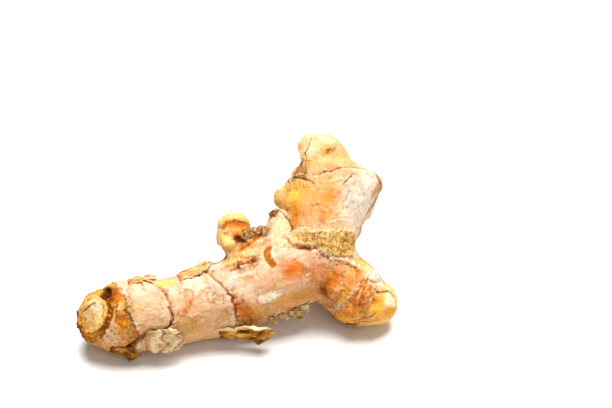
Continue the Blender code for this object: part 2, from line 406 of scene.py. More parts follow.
def fused_skin():
    """A fine, even mesh of the rhizome with its small swellings."""
    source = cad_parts["rhizome"].data
    tree = bvh_of(source)
    shape = bmesh.new()
    shape.from_mesh(source)
    bmesh.ops.remove_doubles(shape, verts=shape.verts, dist=0.001 * MM)
    lumps = [(land(tree, *place), radius) for *place, radius in SWELLINGS]
    for centre, radius in (*lumps, *LUMPS):
        where = Matrix.Translation(Vector(centre) * MM)
        bmesh.ops.create_icosphere(shape, subdivisions=3, radius=radius * MM, matrix=where)
    mesh = bpy.data.meshes.new("fused")
    shape.to_mesh(mesh)
    shape.free()
    piece = linked("rhizome_skin", mesh)
    fuse = piece.modifiers.new("fuse", "REMESH")
    fuse.mode = "VOXEL"
    fuse.voxel_size = GRAIN * MM
    soften = piece.modifiers.new("soften", "SMOOTH")
    soften.factor = 0.5
    soften.iterations = 14
    fine = bpy.data.meshes.new_from_object(piece.evaluated_get(bpy.context.evaluated_depsgraph_get()))
    piece.modifiers.clear()
    piece.data = fine
    fine.name = "rhizome_skin"
    fine.materials.clear()
    return piece


def set_points(mesh, points):
    """Moves a mesh's vertices to these points, given in millimetres."""
    mesh.vertices.foreach_set("co", (points * MM).ravel())
    mesh.update()


def dent(points, centre, inward, radius, depth, stretch):
    """Pushes the points around a place in along a direction, as a hollow stretched along X."""
    inward = np.array(inward) / np.linalg.norm(inward)
    away = points - centre
    across = away - np.outer(away @ inward, inward)
    across[:, 0] /= stretch
    near = np.abs(away @ inward) < radius * 1.6
    share = np.clip(1 - (np.linalg.norm(across, axis=1) / radius) ** 2, 0, 1) ** 1.2
    return points + np.outer(share * near * depth, inward)


def hollowness(mesh, points, rounds):
    """How far each point lies below the mean of those around it, in millimetres."""
    ends = grid_of(mesh.edges, "vertices", 2, np.int32)
    count = np.bincount(ends.ravel(), minlength=len(points))
    mean = points
    for _ in range(rounds):
        mean = np.stack([(np.bincount(ends[:, 0], mean[ends[:, 1], k], len(points))
                          + np.bincount(ends[:, 1], mean[ends[:, 0], k], len(points))) / count
                         for k in range(3)], axis=1)
    return np.einsum("ij,ij->i", mean - points, grid_of(mesh.vertex_normals, "vector"))


# ---------------- the skin's relief and colour


def base_coat(skin):
    """Pale skin over the whole rhizome: cream, pink and beige clouds, streaks, flakes and specks."""
    points, warped, field = skin.points, skin.warped, skin.field
    skin.colour[:] = srgb(*CREAM)
    streak = noise(skin.fibre, 0.9, 12)
    skin.shade(
        1.0,
        (rough_noise(warped, 8, 1), -0.25, 0.35, PINK, 0.8),
        (rough_noise(warped, 6, 4), 0.0, 0.5, BEIGE, 0.8),
        (rough_noise(warped, 2.8, 7), 0.08, 0.45, WHITE_SKIN, 0.65),
        (rough_noise(warped, 4.0, 11), 0.25, 0.6, (232, 152, 84), 0.5),
        (rough_noise(warped, 1.8, 13), 0.22, 0.6, (214, 150, 96), 0.4),
        (streak, 0.15, 0.7, TAN, 0.16),
        (streak, -0.2, -0.7, WHITE_SKIN, 0.22),
        (noise(points, 0.75, 14) + 0.4 * field(3.2, 0), 0.55, 0.8, OLIVE, 0.45),
        (noise(points, 0.9, 16) + 0.3 * field(6.4, 1), 0.6, 0.85, RED, 0.22),
        (noise(points, 0.6, 18) + 0.3 * field(3.2, 1), 0.4, 0.7, (170, 108, 58), 0.35),
    )
    for size, seed, rise in ((6.5, 30, 0.13), (4.0, 36, 0.10)):
        layer = rough_noise(warped, size, seed, 4) - 0.12
        skin.lift(step(layer, -0.05, 0.05), rise)
        skin.paint(bump(layer + 0.07, 0.045) * step(field(3.2, 1), -0.25, 0.25), (150, 98, 54), 0.65)
        skin.paint(bump(layer - 0.08, 0.07), WHITE_SKIN, 0.4)
    skin.height += 0.20 * rough_noise(points, 5.0, 20) + 0.09 * field(0.8, 0)
    skin.height += 0.05 * streak + 0.10 * field(1.6, 1)


def ring(skin, name, angles, alongs, rise, drop, dark=0.8, seed=0):
    """A leaf scar round a finger: the skin before it ends in a raised, torn edge, with painted shade past it.
    """
    s, angle = skin.at[name][:2]
    past = s - np.interp(angle, angles, alongs) + skin.wander(seed, 0.8)
    strength = skin.on(name) * (0.8 + 0.5 * skin.field(3.2, seed))
    skin.lift(strength * step(past, -3.2, -0.1) * (past < 0), rise)
    skin.lift(strength * np.exp(-np.maximum(past, 0) / 1.3) * (past >= 0), -drop)
    skin.paint(strength * bump(past + 0.6, 0.5), WHITE_SKIN, 0.6)
    # Past the edge, an orange band and a brown line: painted shade in the step below the edge, on the scar's
    # own colour.
    skin.shade(strength * bump(past - 0.9, 1.0), (skin.field(3.2, seed + 1), -0.2, 0.3, ORANGE, 0.55))
    skin.shade(strength * bump(past - 0.15, 0.28), (skin.field(1.6, seed + 1), -0.3, 0.3, BROWN, dark))


def plain_ring(skin, name, along, tilt, facing, **more):
    """A ring that lies flat across its finger, apart from a tilt."""
    angles = np.arange(-180, 181, 20)
    ring(skin, name, angles, along + tilt * np.cos(np.radians(angles - facing)), **more)


def root_scars(skin, name, *rows):
    """Small round scars where roots grew: along, around, size and seed."""
    for along, around, size, seed in rows:
        skin.paint(skin.patch(name, along, around, size * 1.7, size * 1.6, seed=seed), TAN, 0.6)
        skin.paint(skin.patch(name, along, around, size, size, seed=seed + 1), BROWN, 0.85)
        skin.lift(skin.patch(name, along, around, size * 2.0, size * 2.0, edge=0.6, seed=seed), 0.25)
        skin.lift(skin.patch(name, along, around, size * 0.7, size * 0.7, seed=seed + 1), -0.5)


END_CENTRE = np.array((-36.0, -21.9, 9.8))  # the middle of the long finger's rounded end
SCAR_NORMAL = np.array((-0.27, -0.54, 0.797))  # straight out of the flat scar
SCAR_CUT = 6.15  # how far from that middle the end is broken off flat
# Where the torn band round that end stops: angles round the finger, and how far along it is there.
END_ANGLES = (-180, -60, -30, -14, 17, 32, 48, 60, 80, 110, 140, 180)
END_ALONGS = (4.0, 3.6, 4.4, 5.4, 6.7, 7.2, 7.7, 8.6, 9.4, 8.0, 5.0, 4.0)


def flattened_end(points):
    """Presses what stands above the broken end's plane down to it."""
    away = points - END_CENTRE
    out = away @ SCAR_NORMAL
    near = (np.linalg.norm(away, axis=1) < 11) & (points[:, 0] < -30.5)
    return points - np.outer(np.where(near, np.maximum(out - SCAR_CUT, 0), 0), SCAR_NORMAL)


# Blots: along, around, length, width, slant (where there is one), seed, colour and amount.
END_BLOTS = (
    (1.9, -32, 6, 4.6, 0, (216, 172, 66), 0.95),
    (2, 85, 5.4, 5.4, 1, (240, 204, 172), 0.95),
    (2.4, 66, 3.4, 6, 1, (238, 198, 162), 0.9),
    (4.6, 14, 2.8, 5, 0, (226, 124, 30), 0.95),
    (5.4, 32, 3.6, 4.6, 1, (226, 180, 106), 0.95),
    (4.7, 44, 3, 3, 0, (228, 142, 88), 0.9),
    (5.8, 60, 3.4, 5.6, 10, 0, (234, 158, 40), 0.95),
    (6.8, 74, 4, 4, 0, (230, 164, 98), 0.85),
    (9.3, 76, 3.2, 3, 1, (196, 124, 84), 0.8),
    (7.6, 44, 2.2, 10, 0, (196, 164, 108), 0.8),
)


def broken_end(skin):
    """The flat dry scar, its golden rim, and the rough torn band between it and the skin."""
    paint, shade = skin.paint, skin.shade
    away = skin.points - END_CENTRE
    out = away @ SCAR_NORMAL
    flat = away - np.outer(out, SCAR_NORMAL)
    right = np.cross((0, 0, 1), SCAR_NORMAL)
    right /= np.linalg.norm(right)
    across, upward = flat @ -right, flat @ np.cross(SCAR_NORMAL, right)
    reach = np.hypot(across / 4.0, upward / 4.5) + 0.1 * skin.field(3.2, 0)
    bearing = np.degrees(np.arctan2(upward, -across)) + 18 * skin.field(1.6, 1)
    s, angle = skin.at["long"][:2]
    on = skin.on("long")
    edge = s - np.interp(angle, END_ANGLES, END_ALONGS) + skin.wander(1, 0.9)
    band = step(edge, 0.2, -0.2) * on
    coarse, crumbs, fine = skin.field(3.2, 1), skin.field(1.6, 0), skin.field(0.8, 1)
    paint(band, (222, 166, 92), 0.95, -0.3)
    shade(
        band,
        (coarse, -0.05, 0.4, (232, 164, 58), 0.7),
        (crumbs, 0.1, 0.45, (172, 104, 34), 0.7),
        (crumbs, -0.2, -0.6, (248, 216, 150), 0.6),
        (fine, 0.25, 0.5, (118, 74, 26), 0.55),
    )
    skin.height += band * (0.45 * crumbs + 0.25 * fine)
    skin.lift(step(edge, 2.2, 0.0) * (edge > 0) * on, 0.3)
    paint(bump(edge - 0.5, 0.45) * on, WHITE_SKIN, 0.55)
    skin.blots("long", END_BLOTS)
    shade(skin.patch("long", 7.4, 42, 2.6, 11.0, seed=1), (fine, 0.0, 0.3, (84, 58, 24), 0.9))
    shade(skin.patch("long", 5.8, 62, 4.4, 9.0), (crumbs, 0.1, 0.4, (176, 96, 20), 0.75))

    dark = step(bearing, -52, -34) * step(bearing, 92, 66)
    dark *= step(reach, 1.08, 1.16) * step(reach, 1.62, 1.42)
    dark *= 1 - 0.9 * step(crumbs + 0.6 * skin.field(3.2, 0), 0.0, 0.3)
    paint(dark * on, (166, 100, 30), 0.9, -0.35)
    shade(dark * on, (fine, -0.25, 0.1, (84, 44, 14), 0.9), (fine, -0.12, -0.35, (238, 180, 64), 0.85))
    below = step(bearing, -28, -50) * step(bearing, -176, -160)
    below *= step(reach, 1.0, 1.08) * step(reach, 1.66, 1.5)
    paint(below * on, (232, 160, 38), 0.95)
    shade(below * on, (crumbs, -0.1, 0.25, (120, 66, 14), 0.9))
    shade(below * on * step(bearing, -96, -116), (fine, -0.35, 0.1, (104, 56, 16), 0.85))
    skin.height += (below + 0.5 * dark) * on * (0.3 * fine + 0.3 * crumbs)
    around_pit = skin.ball((-33.0, -21.2, 17.6), 2.6, seed=1)
    paint(around_pit, (150, 84, 24), 0.8)
    shade(around_pit, (fine, 0.0, 0.35, (92, 44, 12), 0.85))
    # Painted shade: the pit is painted near black, as the shade inside it.
    paint(skin.ball((-34.0, -20.6, 17.2), 1.6), DARK, 0.98, -1.4)
    crevice = skin.stroke("long", ((12.2, 76), (10, 84), (7.6, 98), (5.5, 112)), 0.9, seed=1)
    paint(crevice, (112, 58, 16), 0.95, -0.8)

    face = step(reach, 1.02, 0.92) * step(out, SCAR_CUT - 1.8, SCAR_CUT - 0.9)
    skin.height *= 1 - face
    skin.height += face * (0.16 * fine + 0.16 * coarse - 0.3)
    paint(face, (238, 200, 146), broken=0)
    shade(
        face,
        (skin.field(1.6, 1), -0.1, 0.4, (248, 224, 186), 0.75),
        (upward - 0.8 * across, 0.6, 3.4, (252, 236, 214), 0.7),
        (fine, 0.12, 0.4, (176, 112, 50), 0.75),
    )
    shade(face * step(reach, 0.8, 0.5), (crumbs, 0.25, 0.5, (198, 130, 62), 0.6))
    paint(face * bump(reach - 0.84, 0.13), (246, 212, 128), 0.7)
    paint(bump(reach - 1.04, 0.09) * step(out, SCAR_CUT - 3.4, SCAR_CUT - 1.4), (238, 186, 78), 0.9, 0.35)
    slope = (upward - 2.83 + 1.137 * across) / 1.5 + 0.3 * crumbs
    crack = bump(slope, 0.22) * face * step(np.abs(across - 1.5), 2.0, 1.4)
    paint(crack, (134, 84, 36), 0.95, -0.4)


# Rings: angles round the finger, and how far along the ring is there.
FIRST_RING = ((-180, -120, -60, -30, -13, -1, 17, 33, 47, 61, 72, 90, 120, 180),
              (11.0, 9.0, 10.0, 11.8, 13.9, 15.9, 17.2, 17.6, 17.7, 17.6, 16.8, 16.6, 15.0, 11.0))
SECOND_RING = ((-180, -120, -60, -14, -7, 9, 21, 35, 50, 66, 84, 120, 180),
               (28.0, 26.0, 28.0, 29.7, 30.0, 31.4, 32.5, 33.6, 34.3, 34.2, 33.9, 32.0, 28.0))
LONG_BLOTS = (
    (12.6, -24, 4, 2.8, 20, 0, (206, 124, 54), 0.85),
    (17.8, -12, 6, 3.6, 1, (250, 212, 128), 0.85),
    (19.2, 12, 2.6, 3, 0, WHITE_SKIN, 0.7),
    (10.4, 32, 1.4, 1.6, 1, (236, 180, 64), 0.95),
    (13.6, 46, 8, 9, 0, (222, 190, 158), 0.75),
    (11.5, 8, 6, 5, 1, (234, 208, 192), 0.65),
    (12.5, 20, 6, 6, 0, (234, 204, 176), 0.5),
    (22.8, 30, 3.4, 6.5, 0, (238, 160, 116), 0.6),
    (23.2, 36, 1, 1.8, 30, 1, (200, 84, 54), 0.9),
    (21, 49, 1.8, 1.4, 0, (228, 110, 84), 0.9),
    (22.2, 26, 1, 1.3, 0, (226, 120, 90), 0.8),
    (23.2, 70, 0.8, 0.8, 1, (180, 90, 50), 0.95),
    (27, 62, 8, 9, 0, (226, 188, 150), 0.65),
    (21.5, 80, 8, 6, 0, (222, 176, 118), 0.6),
    (26, 12, 5, 4.5, 1, (250, 228, 206), 0.6),
    (20, 30, 4, 6, 1, (238, 198, 166), 0.5),
    # Painted shade: the next blot darkens the skin where the raised lip at the second ring's top overhangs
    # it.
    (28.4, -24, 4.6, 3.2, 30, 0, (204, 108, 44), 0.9),
    (31.8, -18, 3.4, 3, 20, 1, (252, 240, 224), 0.9),
    (36, 76, 4, 8.5, -10, 0, (204, 110, 40), 0.95),
    (37.8, 66, 4.2, 6, 10, 1, (226, 140, 68), 0.8),
    (44.2, 70, 6.6, 2.6, 4, 0, (253, 240, 216), 1),
    (47.5, 86, 9, 2.6, 8, 1, (232, 170, 104), 0.8),
    (40.5, 92, 7, 3.4, 1, (228, 178, 108), 0.7),
    (52.4, 43, 4.8, 4.4, 20, 0, (230, 122, 28), 1),
    (50.4, 27, 3.4, 3.2, 1, (226, 152, 116), 0.75),
    (41, 5, 8.4, 3.4, 12, 0, (188, 146, 82), 0.85),
    (44.4, 10, 2.6, 2.2, 1, (96, 64, 28), 0.8),
    (39.8, 7, 1.8, 1.6, 1, (112, 74, 34), 0.7),
    (40.2, 30, 3, 1.9, 0, (236, 152, 84), 0.9),
    (38.6, 44, 5.5, 6, 1, (248, 224, 202), 0.7),
    (45, 45, 7, 6, 0, (238, 190, 164), 0.65),
    (36.5, 20, 3, 5, 1, (248, 228, 214), 0.7),
    (52.5, 66, 6, 5, 0, (236, 178, 142), 0.6),
    (58.4, 68, 4.6, 9.5, -15, 1, (208, 108, 38), 0.95),
    (60.4, 62, 2.6, 4, -10, 0, (222, 146, 84), 0.7),
    (58.4, 88, 2.2, 3.4, 0, (120, 56, 20), 0.85),
    (54, 98, 10, 4.6, 1, (216, 152, 82), 0.75),
    (57.5, 38, 4, 5, 1, (238, 188, 166), 0.6),
    (46, 26, 3, 4, 0, (246, 218, 194), 0.6),
)
# Marks: places, width, seed, colour, amount, and how far the skin rises.
LONG_MARKS = (
    # The first, second, fourth and fifth marks follow the two rings: painted shade under their raised edges,
    # on each scar's own dark line.
    (((11.8, -30), (13.9, -13), (15.9, -1), (17.2, 17)), 0.6, 1, (186, 112, 78), 0.75, -0.3),
    (((17.3, 38), (17.9, 50), (17.6, 60), (17, 68)), 0.35, 0, (110, 66, 38), 0.85, -0.4),
    (((17, 68), (15.6, 75), (12.6, 76)), 0.45, 1, (150, 86, 50), 0.8, -0.4),
    (((29.8, -10), (31.6, 9), (32.7, 21), (33.6, 35)), 0.2, 0, (124, 84, 56), 0.75, -0.2),
    (((33.6, 35), (34.5, 50), (34.2, 66), (33.6, 88)), 0.3, 1, (140, 76, 32), 0.8, -0.3),
    (((38.6, -14), (42, -2), (45.5, 4)), 0.5, 1, (176, 104, 50), 0.8, -0.4),
    (((36.8, 6), (38.3, 9), (41.5, 9), (44, 13)), 0.35, 0, (206, 110, 50), 0.8, -0.5),
    (((36, 20), (39, 22), (42, 26)), 0.3, 1, (252, 236, 222), 0.7, 0.15),
    (((46, 58), (49, 52), (52, 56), (56, 50)), 0.2, 0, (206, 146, 108), 0.3, -0.04),
    (((22, 10), (24.5, 20), (24, 34)), 0.2, 1, (206, 130, 96), 0.6, -0.12),
)


def long_finger(skin):
    """The two rings, the patches and the dents of the long finger, and painted shade on its lower side."""
    ring(skin, "long", *FIRST_RING, rise=0.45, drop=0.4, dark=0.6)
    ring(skin, "long", *SECOND_RING, rise=0.45, drop=0.45, dark=0.6, seed=1)
    s, angle = skin.at["long"][:2]
    # Painted shade: the lower right side is painted darker and more orange.
    below = np.abs(turned(angle + 26 * skin.field(6.4, 0) - 118))
    low = skin.on("long") * step(below, 95, 10) * step(s, 6, 10)
    skin.paint(low, (222, 168, 104), 0.5)
    skin.shade(low, (skin.field(3.2, 0), 0.0, 0.4, (206, 140, 74), 0.4))
    skin.blots("long", LONG_BLOTS)
    skin.marks("long", LONG_MARKS)
    skin.lift(skin.patch("long", 44.2, 70, 6.4, 2.3, 4), 0.1)
    skin.height += skin.patch("long", 41.4, 6, 8.4, 3.6, 12) * (0.2 + 0.5 * skin.field(0.8, 0))
    skin.lift(skin.patch("long", 35.8, 78, 3.2, 6.5), -0.5)
    skin.lift(skin.patch("long", 31.8, -18, 3.4, 3.0, 20, seed=1), 0.35)
    root_scars(skin, "long", (6, -110, 1.5, 0), (14, -150, 1.3, 0), (22.5, -95, 1.6, 1), (26, 160, 1.3, 0),
               (36, -140, 1.5, 0), (39.5, -80, 1.2, 0), (46, 175, 1.6, 0), (24.5, -50, 1, 1))


# The collar's lower and upper edges, and the torn sheath's edge under the crown.
COLLAR_ANGLES = (-54, -44, -30, -16, -2, 8, 18, 27, 43, 57, 68, 82)
COLLAR_LOW = (5.2, 4.4, 2.0, 2.0, 2.0, 2.6, 2.0, 1.4, 1.8, 2.5, 3.2, 5.5)
COLLAR_HIGH = (5.4, 5.9, 6.2, 7.2, 6.6, 6.7, 7.2, 7.8, 8.9, 9.4, 9.5, 8.6)
SHEATH = ((-180, -100, -60, -30, -4, 11, 22, 38, 54, 70, 90, 120, 180),
          (21.0, 19.0, 18.5, 18.6, 19.4, 22.1, 25.2, 27.1, 28.8, 28.6, 27.0, 24.0, 21.0))
BRANCH_BLOTS = (
    (15.8, 16, 7.5, 10, 30, 0, (240, 178, 104), 0.8),
    (16.6, 24, 4, 4.6, 20, 1, (228, 146, 66), 0.8),
    (13.4, 6, 4, 6, -30, 1, (242, 184, 122), 0.6),
    (15, -38, 7, 7.5, 0, (252, 202, 98), 0.9),
    (12.4, -58, 2, 2, 0, (236, 160, 36), 0.9),
    (11.8, -30, 3.6, 4, 1, (226, 146, 66), 0.8),
    (10.4, 8, 5, 2, 0, (170, 112, 56), 0.6),
    # The large near-white blot on the right side is the pale skin with a painted highlight where the light
    # falls.
    (18.5, 62, 15, 10, 1, (255, 247, 234), 0.95),
    (14, 62, 7, 5, 0, (250, 222, 196), 0.7),
    (10, 34, 4.4, 6, 0, (222, 190, 160), 0.6),
    (10.5, -10, 5, 7, 1, (234, 172, 128), 0.7),
    (9.4, -37, 5, 2.6, 20, 0, (232, 146, 62), 0.9),
    (20, 2, 5, 9, 1, (246, 208, 164), 0.7),
    (22, 30, 4, 6, 1, (250, 226, 200), 0.7),
    (27, 72, 7, 2.4, 0, (186, 128, 88), 0.7),
    (17, 120, 9, 9, 1, (234, 170, 100), 0.7),
    (14, -110, 8, 9, 0, (232, 160, 84), 0.7),
    (18, 175, 9, 9, 1, (236, 178, 110), 0.7),
    (22, -140, 8, 8, 0, (244, 204, 150), 0.6),
)
BRANCH_MARKS = (
    # The first mark is the groove under the collar's left part: painted shade in it, on a thin reddish line
    # of its own.
    (((1, -26), (1.3, -8), (1.4, 8), (0.8, 24)), 0.6, 1, (196, 108, 74), 0.85, -0.5),
    (((20.4, 32), (22, 31), (24, 33)), 0.22, 0, (120, 100, 90), 0.8, -0.2),
    (((9.6, 20), (11.2, 34), (11.8, 50), (13, 66)), 0.25, 1, (253, 240, 226), 0.5, 0.1),
    (((28.6, 60), (27, 74), (24, 84), (20.5, 92)), 0.5, 0, (130, 90, 60), 0.75, -0.3),
    (((17, 40), (19, 44), (20.6, 42)), 0.18, 1, (160, 130, 110), 0.6, -0.1),
    (((19.6, -4), (22.2, 11), (25.2, 22), (27.2, 38), (28.8, 54)), 0.4, 1, (168, 112, 66), 0.75, -0.2),
    (((13, -6), (14, 8), (13.4, 24)), 0.25, 0, (196, 110, 60), 0.55, -0.15),
)


def upper_branch(skin):
    """The mother piece: its fibrous collar, its colour clouds, and the torn sheath under the crown."""
    paint, shade = skin.paint, skin.shade
    s, angle = skin.at["mother"][:2]
    on = skin.on("mother")
    ring(skin, "mother", *SHEATH, rise=0.5, drop=0.6, dark=0.6)
    uneven = 25 * skin.field(6.4, 1)
    # The right side is painted paler further along: the skin's own pale tone, with a painted highlight where
    # the light falls on it.
    pale_lit_side = step(np.abs(turned(angle - 100) + uneven), 85, 40)
    upper_side = step(np.abs(turned(angle + 30) + uneven), 85, 35)
    shade(on * pale_lit_side, (s, 9, 13, (250, 230, 206), 0.55))
    shade(on * upper_side, (s, 7, 10, (236, 174, 108), 0.65))
    skin.blots("mother", BRANCH_BLOTS)
    skin.marks("mother", BRANCH_MARKS)

    low = s - np.interp(angle, COLLAR_ANGLES, COLLAR_LOW) + skin.wander(1, 0.5)
    high = s - np.interp(angle, COLLAR_ANGLES, COLLAR_HIGH) + skin.wander(0, 0.5) + 0.5 * skin.field(1.6, 0)
    inside = step(angle, -56, -48) * step(angle, 84, 76) * skin.on("mother", 2.6)
    collar = step(low, -0.2, 0.3) * step(high, 0.3, -0.2) * inside
    crumbly = collar * step(angle, -44, -4)
    crumbs = skin.field(1.6, 1)
    fine = noise(np.column_stack((s * 0.7, np.radians(angle) * 9, skin.points[:, 0] * 0.1)), 0.6, 145)
    fine = 0.7 * fine + 0.6 * skin.field(1.6, 0)
    paint(collar, (236, 204, 152), 0.9, 0.35)
    paint(crumbly, (230, 192, 126), 0.9)
    shade(crumbly, (crumbs, 0.1, 0.45, (186, 146, 80), 0.7))
    shade(collar, (crumbs, -0.1, -0.45, (244, 224, 168), 0.8))
    shade(crumbly, (fine, 0.15, 0.4, (126, 84, 40), 0.7))
    shade(collar * step(angle, 34, 62), (low, 4.5, 2.0, (232, 172, 76), 0.5))
    skin.height += crumbly * (0.35 * crumbs + 0.3 * fine)
    paint(bump(high, 0.35) * inside, (252, 234, 204), 0.6)
    # Painted shade: a reddish brown line in the groove under the collar's lower edge, on a thin reddish line
    # of its own.
    shade(bump(low + 0.45, 0.4) * inside, (angle, 60, 50, (196, 116, 80), 0.75))
    skin.lift(bump(low + 0.6, 0.5) * inside, -0.2)
    root_scars(skin, "mother", (8, 130, 1.6, 0), (12, -100, 1.4, 0), (9, -140, 1.5, 1), (20, -150, 1.5, 0),
               (15, 95, 1.2, 1))


CROWN_BLOTS = (
    (8.2, 8, 5, 5.6, 1, (236, 186, 104), 0.85),
    (8.4, 6, 4.4, 4.8, 0, (204, 148, 76), 0.9),
    (7.8, 12, 1.3, 1.6, 1, (110, 66, 28), 0.9),
    (6.4, -46, 3.2, 1.6, 0, (240, 194, 78), 0.9),
    (5, 34, 2.2, 2.6, 1, (232, 172, 76), 0.8),
    (5.6, -20, 3, 5, 1, (240, 194, 140), 0.6),
    (11.5, 20, 4, 5, 0, (252, 240, 206), 0.7),
    (10.5, -50, 4, 4, 1, (252, 238, 208), 0.7),
    (9, 150, 3, 3, 0, (210, 144, 74), 0.7),
)
BUD_EDGE = ((10.9, 0.6, 26.7), (12.2, -0.9, 25.8), (13.2, -3.1, 25.7), (13.9, -5, 25.3), (13, -6.1, 24.6))


def crown_and_buds(skin):
    """The round crown with its eye, the scaly bud and the side nub."""
    paint, shade, field = skin.paint, skin.shade, skin.field
    crown = skin.on("crown", 2.4)
    paint(crown, (243, 208, 164), 0.85)
    shade(
        crown,
        (field(3.2, 0), -0.1, 0.4, (240, 196, 146), 0.6),
        (field(1.6, 1), 0.1, 0.5, (236, 184, 118), 0.45),
        (field(0.8, 0), 0.25, 0.55, (190, 146, 88), 0.45),
    )
    skin.blots("crown", CROWN_BLOTS)
    paint(skin.ball((16.4, 14.4, 34.0), 3.4), (246, 216, 172), 0.75)
    eye = skin.patch("crown", 8.2, 9, 4.0, 4.8)
    shade(eye, (field(0.8, 0), 0.0, 0.3, (142, 92, 42), 0.85))
    skin.height += eye * 0.45 * field(0.8, 1)
    for places, seed in ((((12.6, -52), (11.2, -60), (9.8, -70)), 0), (((9.0, -64), (10.0, -70)), 1)):
        paint(skin.stroke("crown", places, 0.25, wobble=0.2, seed=seed), (140, 112, 80), 0.9, -0.2)

    bud = skin.on("bud", 0.8)
    paint(bud, (247, 222, 190), 0.85)
    shade(bud, (noise(skin.fibre, 0.8, 178), 0.0, 0.5, (228, 176, 132), 0.55))
    paint(skin.patch("bud", 8.4, 60, 5.5, 1.8), (116, 62, 28), 0.95)
    skin.lift(skin.patch("bud", 8.4, 60, 5.5, 1.4), -0.4)
    tuft = skin.ball((8.6, 0.2, 26.9), 1.7, fray=0.5, seed=1)
    paint(tuft, (104, 56, 30), 0.95)
    shade(tuft, (field(0.8, 0), 0.0, 0.3, (206, 160, 130), 0.8))
    skin.height += tuft * 0.7 * field(0.8, 1)
    paint(skin.line(BUD_EDGE, 0.32, wobble=0.3, seed=1), (132, 70, 36), 0.85, -0.3)
    paint(skin.on("nub", 0.8), (246, 192, 108), 0.9)
    paint(skin.ball((10.4, 7.0, 26.4), 1.7, seed=1), (240, 196, 150), 0.85)
    paint(skin.line(((12.2, 4.2, 24.2), (12.0, 4.6, 27.4)), 0.5), (206, 128, 40), 0.7)


def curled_bud(skin):
    """The curled bud: a pale rim round an orange hollow, a hole painted dark as shade, and dark lumps beside
    it.
    """
    paint, shade, field = skin.paint, skin.shade, skin.field
    curl = skin.on("curl", 0.8)
    paint(curl, (250, 212, 150), 0.95)
    shade(curl, (field(3.2, 1), -0.05, 0.4, (246, 190, 112), 0.6))
    shade(curl, (field(1.6, 0), 0.1, 0.5, (254, 230, 180), 0.6))
    away = skin.points - CURL_HOLLOW
    across, height = away[:, 0], away @ CURL_UP
    reach = np.hypot(across / 3.2, height / 1.9) + 0.14 * field(1.6, 0)
    front = step(away @ np.array(CURL_INWARD), 3.4, 2.4) * curl
    hollow = step(reach, 1.1, 0.9) * front
    paint(hollow, (232, 150, 72), 0.95)
    # Darker towards the hollow's top and along its upper edge: painted shade under the overhanging rim.
    shade(hollow, (height, 0.2, 1.0, (214, 122, 48), 0.7))
    shade(bump(reach - 1.0, 0.17) * front, (height - 0.3 * across, -0.4, 0.4, (168, 88, 34), 0.9))
    shade(hollow * bump(height + 0.5, 0.3), (across, 1.6, 0.6, (246, 196, 132), 0.7))
    lip = skin.line(((-2.4, -6.8, 25.0), (-0.4, -6.7, 25.1), (1.6, -6.5, 24.8)), 0.45, seed=1)
    paint(lip, (246, 200, 164), 0.9, 0.2)
    paint(skin.ball((-2.4, -9.2, 23.4), 1.6), (246, 186, 78), 0.85)
    paint(skin.ball((-3.6, -8.6, 24.4), 1.2, seed=1), (246, 214, 130), 0.7)
    hole = skin.line(((-1.1, -7.6, 24.3), (-0.2, -7.9, 24.1), (1.4, -8.1, 23.7)), 1.0, wobble=0.9, seed=1)
    # Painted shade: the hole and the brown round it are painted dark, as the shade inside it.
    paint(skin.ball(CURL_HOLE, 1.9), (150, 78, 28), 0.8)
    paint(step(hole, 0.3, 0.6), DARK)
    # Dark brown lumps with darker and paler specks, in the crevice between the two buds.
    balls = [skin.ball(centre, radius + 0.5, seed=k) for k, (centre, radius) in enumerate(CREVICE_LUMPS)]
    crevice_patch = np.maximum.reduce(balls) * step(skin.points[:, 2], 23.0, 23.6)
    paint(crevice_patch, (166, 128, 96), 0.95)
    fine = field(0.8, 0)
    shade(crevice_patch, (fine, 0.0, 0.4, (84, 52, 28), 0.85), (fine, -0.2, -0.5, (214, 188, 160), 0.7))
    skin.height += crevice_patch * (0.5 * field(0.8, 1) + 0.3 * field(1.6, 0))


THUMB_BLOTS = (
    (8.6, -14, 4.4, 4, 1, (242, 202, 108), 0.85),
    (14.8, -12, 9, 5.6, 0, (254, 242, 226), 0.95),
    (19, 8, 4, 2.6, 0, (236, 196, 164), 0.8),
    (22, 26, 4.4, 6, 1, (255, 246, 218), 0.95),
    (19.6, 48, 3, 8, 0, (246, 184, 70), 0.85),
    (23.4, 62, 3.4, 4.4, 0, (242, 166, 50), 0.9),
    (9.8, 60, 2.6, 4.6, 1, (232, 172, 66), 0.8),
    (13.6, 76, 2.6, 4.2, 1, (230, 132, 34), 0.95),
    (10.6, 84, 2.2, 2.6, 1, (240, 212, 176), 0.6),
    (13.6, 102, 4, 4.4, 0, (244, 180, 58), 0.9),
    (15.6, 114, 2.4, 2, 0, DARK, 0.85),
    (8.3, 8, 2.2, 1.8, 1, (222, 126, 44), 0.8),
    (11.6, 14, 1.8, 3, 1, (212, 136, 60), 0.8),
    (14.2, 48, 3.6, 3, 0, (184, 108, 36), 0.85),
    (17.6, 84, 6, 5, 1, (232, 180, 104), 0.75),
    (6.4, 50, 4, 6, 0, (236, 180, 138), 0.6),
    (4.6, 60, 2.4, 7, -20, 1, (222, 130, 56), 0.85),
)
THUMB_MARKS = (
    (((17.4, 18), (19.2, 6), (20.8, 2), (22.6, -8)), 0.35, 0, (112, 72, 36), 0.9, -0.4),
    (((9.6, -6), (10.6, 14), (11.8, 34), (13, 54)), 0.24, 1, (176, 100, 42), 0.4, -0.08),
    (((11.4, -4), (12.6, 18), (13.6, 38), (14.4, 56)), 0.24, 0, (170, 96, 36), 0.35, -0.08),
    (((10.6, -10), (11.6, 12), (12.6, 34), (13.6, 54)), 0.2, 1, (252, 230, 188), 0.35, 0.06),
    (((14.6, 112), (17.4, 98), (20.4, 84)), 0.28, 0, (186, 110, 44), 0.75, -0.25),
    (((15.4, 96), (17.6, 80), (19.6, 66)), 0.24, 1, (190, 116, 48), 0.6, -0.2),
)


